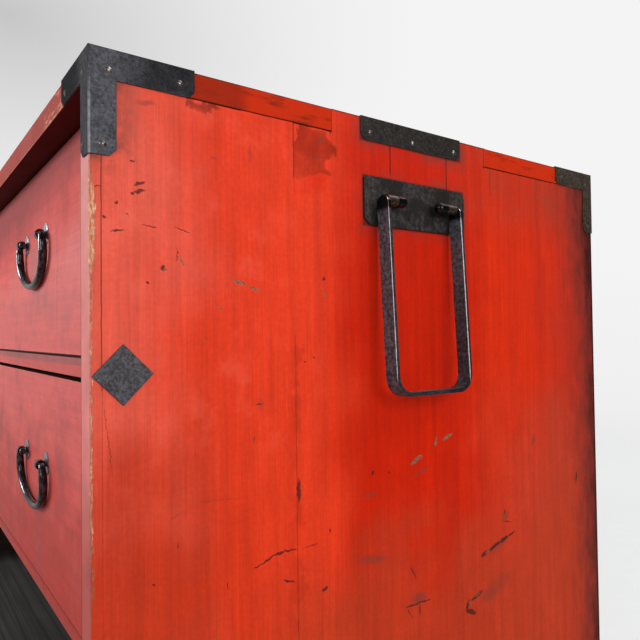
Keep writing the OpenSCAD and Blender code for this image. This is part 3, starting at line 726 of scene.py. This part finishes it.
def top_board_lacquer():
    coat = cross_lacquer("vermilion_lacquer_top", "#a83426", "#a02a14", 0.55, 0.06, film=0.12)
    tree, place, back, down = coat.tree, coat.place, coat.back, coat.down
    # its finger ends on the side are a deep orange, with dark blotches and a dark outline
    blot = streaks(tree, place, "Y", 5 * MM, 24 * MM, detail=5.0, roughness=0.65)
    side_on = facing(tree, (1, 0, 0))
    ends = tinted(tree, "#c82c03", "#8a2008", zone(tree, blot, 0.5, 0.72))
    ends = tinted(tree, ends, "#8c2209", between(tree, back, 50, 72, 10), 0.7)
    colour = tinted(tree, coat.colour, ends, side_on)
    outline = sum_of(tree, zone(tree, down, TOP_BOARD - 0.7, TOP_BOARD), zone(tree, down, 0.9, 0.3))
    colour = tinted(tree, colour, "#1c0805", side_on, outline, 0.9)
    # chips of bare wood along the front edge near the bracket
    bits = streaks(tree, place, "X", 3 * MM, 9 * MM, detail=4.0, roughness=0.7)
    front = facing(tree, (0, -1, 0))
    bare = times(tree, front, between(tree, coat.inward, 46, 82, 10), zone(tree, bits, 0.52, 0.62))
    low_edge = zone(tree, sum_of(tree, down, spread(tree, bits, -0.6, 0.6)), TOP_BOARD - 0.9,
                    TOP_BOARD - 0.2)
    coat.colour = tinted(tree, colour, "#d08a64", sum_of(tree, bare, times(tree, front, low_edge, 0.56)))
    return finish_cross(coat)


top_lacquer = top_board_lacquer()
print(top_lacquer.name, "nodes:", len(top_lacquer.node_tree.nodes))


# %% Rails
def rails_lacquer():
    coat = cross_lacquer("faded_lacquer_rail", "#d04c46", "#b03a30", 0.4, 0.22)
    tree, down = coat.tree, coat.down
    # a grey band just under the upper drawer's gap
    shade = between(tree, down, UPPER_GAP[0] + 0.4, UPPER_GAP[1] + 3.5, 1.5)
    coat.colour = tinted(tree, coat.colour, "#6e4a48", shade, spread(tree, coat.cloud, 0.3, 0.75))
    # its edge at the upper gap is painted a near-black shade
    gap_shade = between(tree, down, UPPER_GAP[0] - 0.6, UPPER_GAP[1] - 0.1, 0.3)
    dull = between(tree, down, LOWER_GAP[0] + 0.5, LOWER_GAP[1] + 1, 0.5)
    # the rail's underside is painted a near-black shade
    return finish_cross(coat, gap_shade=gap_shade, underside="#0c0202", dull=dull)


rail_lacquer = rails_lacquer()
print(rail_lacquer.name, "nodes:", len(rail_lacquer.node_tree.nodes))

# %% [markdown]
# ## Bare softwood
# The insides were never lacquered. The case has aged to a dark smoky brown, the drawer boxes to a warm tan,
# and the planks of the back to a weathered grey-brown, each in a tone of its own. All are planed softwood:
# fine growth lines along the board, matt, with a slight ridge at each line. Only the bottom board carries
# the case's red, on its ends and its front edge.

# %% Bare wood
def bare_wood(name, pale_hex, dark_hex, along, ring, lacquered_edge=None):
    material, tree, place = new_finish(name)
    broad = streaks(tree, place, along, ring, 70 * ring, detail=3.0, distortion=1.2)
    fibre = streaks(tree, place, along, 0.5 * MM, 25 * MM)
    light = times(tree, spread(tree, fibre, 0.85, 1.1), spread(tree, noise(tree, place, 80 * MM), 0.8, 1.1))
    colour = shaded(tree, tinted(tree, dark_hex, pale_hex, zone(tree, broad, 0.35, 0.6)), light)
    if lacquered_edge:  # the ends on both sides and the front edge
        outer = sum_of(tree, *(facing(tree, way) for way in ((1, 0, 0), (-1, 0, 0), (0, -1, 0))))
        colour = tinted(tree, colour, shaded(tree, srgb(lacquered_edge), light, 1.05), outer)
    relief = sum_of(tree, broad, fibre)
    bump = add(tree, "Bump", {"Height": relief, "Distance": 0.2 * MM, "Strength": 0.4})
    close_finish(tree, {"Base Color": colour, "Roughness": 0.72, "Normal": bump,
                        "Specular IOR Level": 0.3})
    return material


case_wood = bare_wood("smoked_softwood", "#484542", "#322f2d", "X", 7 * MM)
floor_wood = bare_wood("smoked_softwood_floor", "#484542", "#322f2d", "X", 7 * MM, "#b83a22")
back_woods = {plank: bare_wood("weathered_softwood_" + plank, pale, dark, "X", ring * MM)
              for plank, pale, dark, ring in (("upper", "#796652", "#66543f", 9),
                                              ("middle", "#705d4a", "#5e4d3b", 6),
                                              ("lower", "#7d6b59", "#6b5a48", 12))}
drawer_wood = bare_wood("aged_tan_softwood", "#b48a5f", "#8f683f", "X", 5 * MM)
drawer_side_wood = bare_wood("aged_tan_softwood_side", "#b48a5f", "#8f683f", "Y", 5 * MM)
print("planks of the back:", list(back_woods))

# %% [markdown]
# ## Iron
# The corners, straps and plates are cut from hammered sheet iron, blackened with lacquer and smoke and
# mottled by a little old rust. The handles are forged flat bar, a cooler grey, bright where hands rub their
# edges. Under its skin of soot and lacquer old iron is only part metal to the eye, so their Metallic stays
# between 0.2 and 0.4, and roughness near 0.5 keeps them satin. The pulls, washers, nails and knuckles are
# polished by use, so they are nearly all metal. Each kind may bring its own wear, which is a function; for
# the near bracket and the handle it also paints shade, and a highlight on the bracket's fold.

# %% Iron
DUST_SPECK, PIT = "#a8a29c", "#0c0b0b"


def iron(name, dark_hex, pale_hex, rust_hex, rust_share, grain, metallic, roughness, edge_hex=None,
         dent=0.15, specular=0.2, wear_and_shade=None):
    """Mottled iron; its grain is in metres and its dents in millimetres."""
    material, tree, place = new_finish(name)
    mottle = noise(tree, place, grain, detail=6.0, roughness=0.62)
    cloud = noise(tree, place, 6 * grain, detail=3.0)
    pit = noise(tree, place, 1.0 * MM, detail=3.0)
    colour = tinted(tree, dark_hex, pale_hex, zone(tree, mottle, 0.36, 0.66))
    colour = shaded(tree, colour, spread(tree, cloud, 0.75, 1.22))
    colour = tinted(tree, colour, rust_hex, zone(tree, cloud, 0.5, 0.7), rust_share)
    colour = tinted(tree, colour, PIT, zone(tree, pit, 0.6, 0.72), 0.6)
    dust = zone(tree, noise(tree, place, 0.9 * MM, detail=2.0), 0.62, 0.7)
    colour = tinted(tree, colour, DUST_SPECK, dust, spread(tree, cloud, 0.0, 0.22))
    skin = SimpleNamespace(colour=colour, metallic=metallic, mottle=mottle, cloud=cloud,
                           satin=spread(tree, mottle, roughness + 0.08, roughness - 0.06))
    if wear_and_shade:
        wear_and_shade(tree, place, skin)
    if edge_hex:
        rubbed = worn_edges(tree, 0.7 * MM)
        skin.colour = tinted(tree, skin.colour, edge_hex, rubbed, spread(tree, mottle, 0.3, 0.9))
    relief = sum_of(tree, mottle, times(tree, pit, -0.5))
    bump = add(tree, "Bump", {"Height": relief, "Distance": dent * MM, "Strength": 0.5})
    close_finish(tree, {"Base Color": skin.colour, "Metallic": skin.metallic, "Roughness": skin.satin,
                        "Normal": bump, "Specular IOR Level": specular})
    return material


print("iron's dust and pits:", DUST_SPECK, PIT)


# %% Wear of brackets, nails and plates
DULL_NAILS = 300  # nails further back than this, in millimetres, are away from hands


def bracket_wear_and_shade(tree, place, skin):
    """Dark along the top, with painted shade on its front faces and a painted highlight on its fold."""
    inward, back, down = measures(tree, place)
    along_top = zone(tree, sum_of(tree, back, inward, spread(tree, skin.cloud, -8, 8)), 8, 26)
    along_top = times(tree, along_top, zone(tree, down, 15, 12))
    front = facing(tree, (0, -1, 0))
    far_arm = times(tree, front, zone(tree, inward, 10, 18))
    # the front faces, and the far arm most, are darkened as painted shade
    for mask, light in ((along_top, 0.32), (front, 0.82), (far_arm, 0.66)):
        skin.colour = shaded(tree, skin.colour, spread(tree, mask, 1.0, light, 0, 1))
    skin.metallic = spread(tree, front, skin.metallic, 0.02, 0, 1)
    # the fold is lightened as a painted highlight
    fold = zone(tree, sum_of(tree, inward, back), 0.1, -0.8)
    skin.colour = tinted(tree, skin.colour, "#a9a7ad", fold, spread(tree, skin.mottle, 0.4, 1.0),
                         zone(tree, down, 10, 30), 0.75)
    skin.satin = moved(tree, skin.satin, 0.85, front)


def nail_wear(tree, place, skin):
    """Nails far back or on the front, away from hands, are browned and dull."""
    back = measures(tree, place)[1]
    away = sum_of(tree, zone(tree, back, DULL_NAILS, DULL_NAILS + 10), zone(tree, back, 0.4, -0.4))
    skin.colour = tinted(tree, skin.colour, "#4c443a", away)
    skin.metallic = spread(tree, away, skin.metallic, 0.2, 0, 1)
    skin.satin = moved(tree, skin.satin, 0.6, away)


def plate_wear(tree, place, skin):
    """Grease and soot gather round the eyes that seat on the handle's plate."""
    soot = near_box(tree, place, *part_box("handle_eyes_right"), 12 * MM)
    soot = times(tree, soot, zone(tree, skin.cloud, 0.46, 0.56))
    skin.colour = tinted(tree, skin.colour, "#0e0c0c", soot, spread(tree, skin.mottle, 0.2, 0.95))


print("nails go dull beyond", DULL_NAILS, "mm back")


# %% Wear of the carry handle
def handle_wear_and_shade(tree, place, skin):
    """Painted shade on its outer face, black and glossy at the peened ends, bright along two edges."""
    back, down = measures(tree, place)[1:]
    front, rear = ((corner.y - near_corner.y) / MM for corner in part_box("carry_handle_right"))
    outer = facing(tree, (1, 0, 0))
    ends = zone(tree, down, 57, 53)
    # the outer face is darkened as painted shade
    colour = shaded(tree, skin.colour, spread(tree, outer, 1.0, 0.22, 0, 1))
    colour = tinted(tree, colour, "#2c2828", ends, 0.85)
    # the rear bar is blacker towards its foot
    foot = times(tree, zone(tree, down, 60, 140), zone(tree, back, front + 30, rear - 10))
    colour = shaded(tree, colour, spread(tree, foot, 1.0, 0.5, 0, 1))
    arris = sum_of(tree, between(tree, back, front - 1, front + 0.3, 0.3),
                   between(tree, back, rear - 2.4, rear - 1.8, 0.3))
    skin.colour = tinted(tree, colour, "#e8dee0", arris, outer, zone(tree, down, 160, 150),
                         spread(tree, skin.mottle, 0.4, 1.2))
    skin.satin = moved(tree, skin.satin, 0.14, ends)
    skin.metallic = spread(tree, ends, skin.metallic, 0.9, 0, 1)


# %% The irons of the chest
bracket_iron = iron("blackened_bracket_iron", "#424246", "#55555b", "#363133", 0.3, 1.6 * MM, 0.4, 0.52,
                    "#1a191b", specular=0.05, wear_and_shade=bracket_wear_and_shade)
sheet_iron = iron("blackened_sheet_iron", "#3d3c3f", "#5b595e", "#363133", 0.3, 1.4 * MM, 0.4, 0.52,
                  "#1a191b")
rear_iron = iron("browned_bracket_iron", "#2e2820", "#544a3d", "#3a2a1c", 0.5, 2 * MM, 0.3, 0.55)
strap_iron = iron("browned_strap_iron", "#1e1b19", "#38322e", "#20170f", 0.5, 2 * MM, 0.35, 0.5, "#5c544e")
plate_iron = iron("smoked_plate_iron", "#262322", "#4c4643", "#2c2219", 0.5, 2.5 * MM, 0.4, 0.5,
                  wear_and_shade=plate_wear)
bar_iron = iron("forged_bar_iron", "#3e464c", "#747f88", "#40383a", 0.45, 2.4 * MM, 0.2, 0.5,
                wear_and_shade=handle_wear_and_shade)
knuckle_iron = iron("bronzed_knuckle_iron", "#332a24", "#75655a", "#3a281c", 0.5, 2 * MM, 0.8, 0.26)
nail_iron = iron("domed_nail_iron", "#4e4644", "#a39a98", "#5a3a30", 0.5, 2 * MM, 0.9, 0.3, dent=0.06,
                 wear_and_shade=nail_wear)
pull_iron = iron("black_forged_pull_iron", "#2c2c2e", "#6a6a70", "#2c2018", 0.2, 3 * MM, 0.95, 0.12,
                 dent=0.12)
washer_iron = iron("filed_washer_iron", "#68686e", "#c4c4ca", "#5a4c44", 0.3, 2 * MM, 0.9, 0.28, dent=0.08)
print("finishes:", len(bpy.data.materials))

# %% [markdown]
# ## Dressing the CAD pieces
# Every CAD piece keeps its exact shape and takes its finish in its material slot. Boards and sheets of iron
# also get modifiers: a weld and a merging of flat faces, and then a fine bevel, the small round that tools
# and wear leave. The bevel hardens the flat faces' normals, so that they stay flat in the light right up to
# the rounded edge.

# %% Finishes by piece
def finish_for(name):
    for part, finish in (
        ("pull_washers", washer_iron), ("pull_eyes", pull_iron), ("pull_bail", pull_iron),
        ("drawer_front", front_lacquer), ("drawer_side", drawer_side_wood), ("drawer_", drawer_wood),
        ("rail", rail_lacquer), ("top_board", top_lacquer),
        ("carry_handle", bar_iron), ("handle_eyes", knuckle_iron), ("nails", nail_iron),
        ("handle_plate", plate_iron), ("diamond", sheet_iron), ("front_bracket", bracket_iron),
        ("back_bracket", rear_iron), ("strap", strap_iron), ("bottom_board", floor_wood),
    ):
        if part in name:
            return finish
    if name.startswith("back_plank"):
        return back_woods[name.removeprefix("back_plank_")]
    if name.startswith("side_"):
        return side_lacquers[name.removesuffix("_right")] if name.endswith("_right") else left_lacquer
    return case_wood


print("an upper dust board takes", finish_for("upper_dust_board").name)


# %% Fine bevels, and each piece's finish
def soften(piece, width):
    """Rounds the piece's edges."""
    weld = piece.modifiers.new("weld", "WELD")
    weld.merge_threshold = 0.01 * MM
    flat = piece.modifiers.new("flat", "DECIMATE")
    flat.decimate_type = "DISSOLVE"
    flat.angle_limit = math.radians(1)
    bevel = piece.modifiers.new("bevel", "BEVEL")
    bevel.width = width
    bevel.segments = 2
    bevel.limit_method = "ANGLE"
    bevel.angle_limit = math.radians(35)
    bevel.use_clamp_overlap = True
    bevel.harden_normals = True


# width of each bevel in millimetres; the first name that fits a piece counts
SOFT_EDGES = {"side_facing": 0.2, "side_": 0.12, "top_board": 0.6, "drawer_front": 0.7, "rail": 0.5,
              "bracket": 0.12, "strap": 0.12, "diamond": 0.15, "handle_plate": 0.3,
              "bottom_board": 0.4, "back_plank": 0.6}
for name, piece in nodes.items():
    piece.data.materials.clear()
    piece.data.materials.append(finish_for(name))
    width = next((size for part, size in SOFT_EDGES.items() if part in name), None)
    if width:
        soften(piece, width * MM)
print("dressed:", len(nodes))

# %% [markdown]
# ## Drawer pulls
# A pull is one forged bar: thin pins turned in through the eyes, full round arms, a little slimmer at the
# bottom, and the ends peened over so that it can't slip out. A tube swept along one smooth line gives that
# with no seam. Its line is that of the CAD bail, whose box and hinge place it.

# %% Bails
EYE_SPAN = 62 * MM
PIN, ARM, BOTTOM, HEAD = 1.6 * MM, 2.65 * MM, 2.35 * MM, 2.4 * MM  # radii of the bar and its peened ends
LEAN = math.radians(2.5)  # the bails hang with their bottoms towards the drawer


def cubic(points, steps):
    """Points along one cubic curve, without its last."""
    a, b, c, d = map(Vector, points)
    for step in range(steps):
        t = step / steps
        yield a * (1 - t) ** 3 + b * 3 * t * (1 - t) ** 2 + c * 3 * t * t * (1 - t) + d * t ** 3


def bail_line(half, drop):
    """Middle line and radii of half a bail, from the peened end out, down and round to the bottom."""
    start = EYE_SPAN / 2 - 7.6 * MM
    line, radii = [], []
    for step in range(7):  # the rounded, peened end
        angle = math.pi / 2 * step / 6
        line.append(Vector((start + HEAD * (1 - math.cos(angle)), 0)))
        radii.append(max(HEAD * math.sin(angle), 0.2 * MM))
    line += [Vector((start + 2 * HEAD - 0.5 * MM, 0)), Vector((start + 2 * HEAD, 0))]
    radii += [HEAD, PIN]
    shoulder = [(EYE_SPAN / 2 + 3.4 * MM, 0), (half - 1 * MM, 0), (half, -4 * MM), (half, -10 * MM)]
    belly = [(half, -10 * MM), (half, -0.7 * drop), (0.6 * half, -drop), (0, -drop)]
    body = list(cubic(shoulder, 12)) + list(cubic(belly, 26)) + [Vector((0, -drop))]
    for at, point in enumerate(body):
        t = at / (len(body) - 1)
        if t < 0.35:
            radius = PIN + (ARM - PIN) * math.sin(t / 0.35 * math.pi / 2)
        else:
            radius = BOTTOM + (ARM - BOTTOM) * (1 + math.cos((t - 0.35) / 0.65 * math.pi)) / 2
        line.append(point)
        radii.append(radius)
    return line, radii


print("a pull spans", round(EYE_SPAN / MM), "mm from eye to eye")


# %% A swept bar
def swept_bar(name, line, radii, sides=24):
    """A closed tube round a line in the XZ plane."""
    bm = bmesh.new()
    rings = []
    for at, (point, radius) in enumerate(zip(line, radii)):
        ahead = (line[min(at + 1, len(line) - 1)] - line[max(at - 1, 0)]).normalized()
        ring = []
        for side in range(sides):
            angle = math.tau * side / sides
            out = radius * math.cos(angle)
            spot = Vector((point.x - out * ahead.y, radius * math.sin(angle), point.y + out * ahead.x))
            ring.append(bm.verts.new(spot))
        rings.append(ring)
    for one, two in zip(rings, rings[1:]):
        for side in range(sides):
            following = (side + 1) % sides
            bm.faces.new((one[side], one[following], two[following], two[side]))
    bm.faces.new(reversed(rings[0]))
    bm.faces.new(rings[-1])
    for face in bm.faces:
        face.smooth = True
    bmesh.ops.recalc_face_normals(bm, faces=bm.faces)
    mesh = bpy.data.meshes.new(name)
    bm.to_mesh(mesh)
    bm.free()
    piece = bpy.data.objects.new(name, mesh)
    bpy.context.collection.objects.link(piece)
    return piece


print("helper:", swept_bar.__name__)

# %% The four bails on their hinges
hinges = {joint["name"]: Vector(joint["pos_m"]) for joint in frame["record"]["behaviour"]["joints"]
          if joint["type"] == "hinge"}
for level in ("upper", "lower"):
    for side in ("right", "left"):
        cad_bail = f"{level}_pull_bail_{side}"
        low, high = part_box(cad_bail)
        hinge = hinges[f"{level}_bail_{side}_swing"]
        drop = (hinge.z - low.z - BOTTOM) / math.cos(LEAN)
        line, radii = bail_line((high.x - low.x) / 2 - ARM, drop)
        line += [Vector((-point.x, point.y)) for point in line[-2::-1]]
        radii += radii[-2::-1]
        bail = swept_bar(f"{level}_bail_{side}_forged", line, radii)
        bail.location = hinge
        bail.rotation_euler.x = LEAN
        bail.data.materials.append(pull_iron)
        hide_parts(cad_bail)
        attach(bail, f"{level}_bail_{side}")
print("bails:", len(line), "rings each")

# %% View transform, and the end
bpy.context.scene.view_settings.view_transform = "Standard"
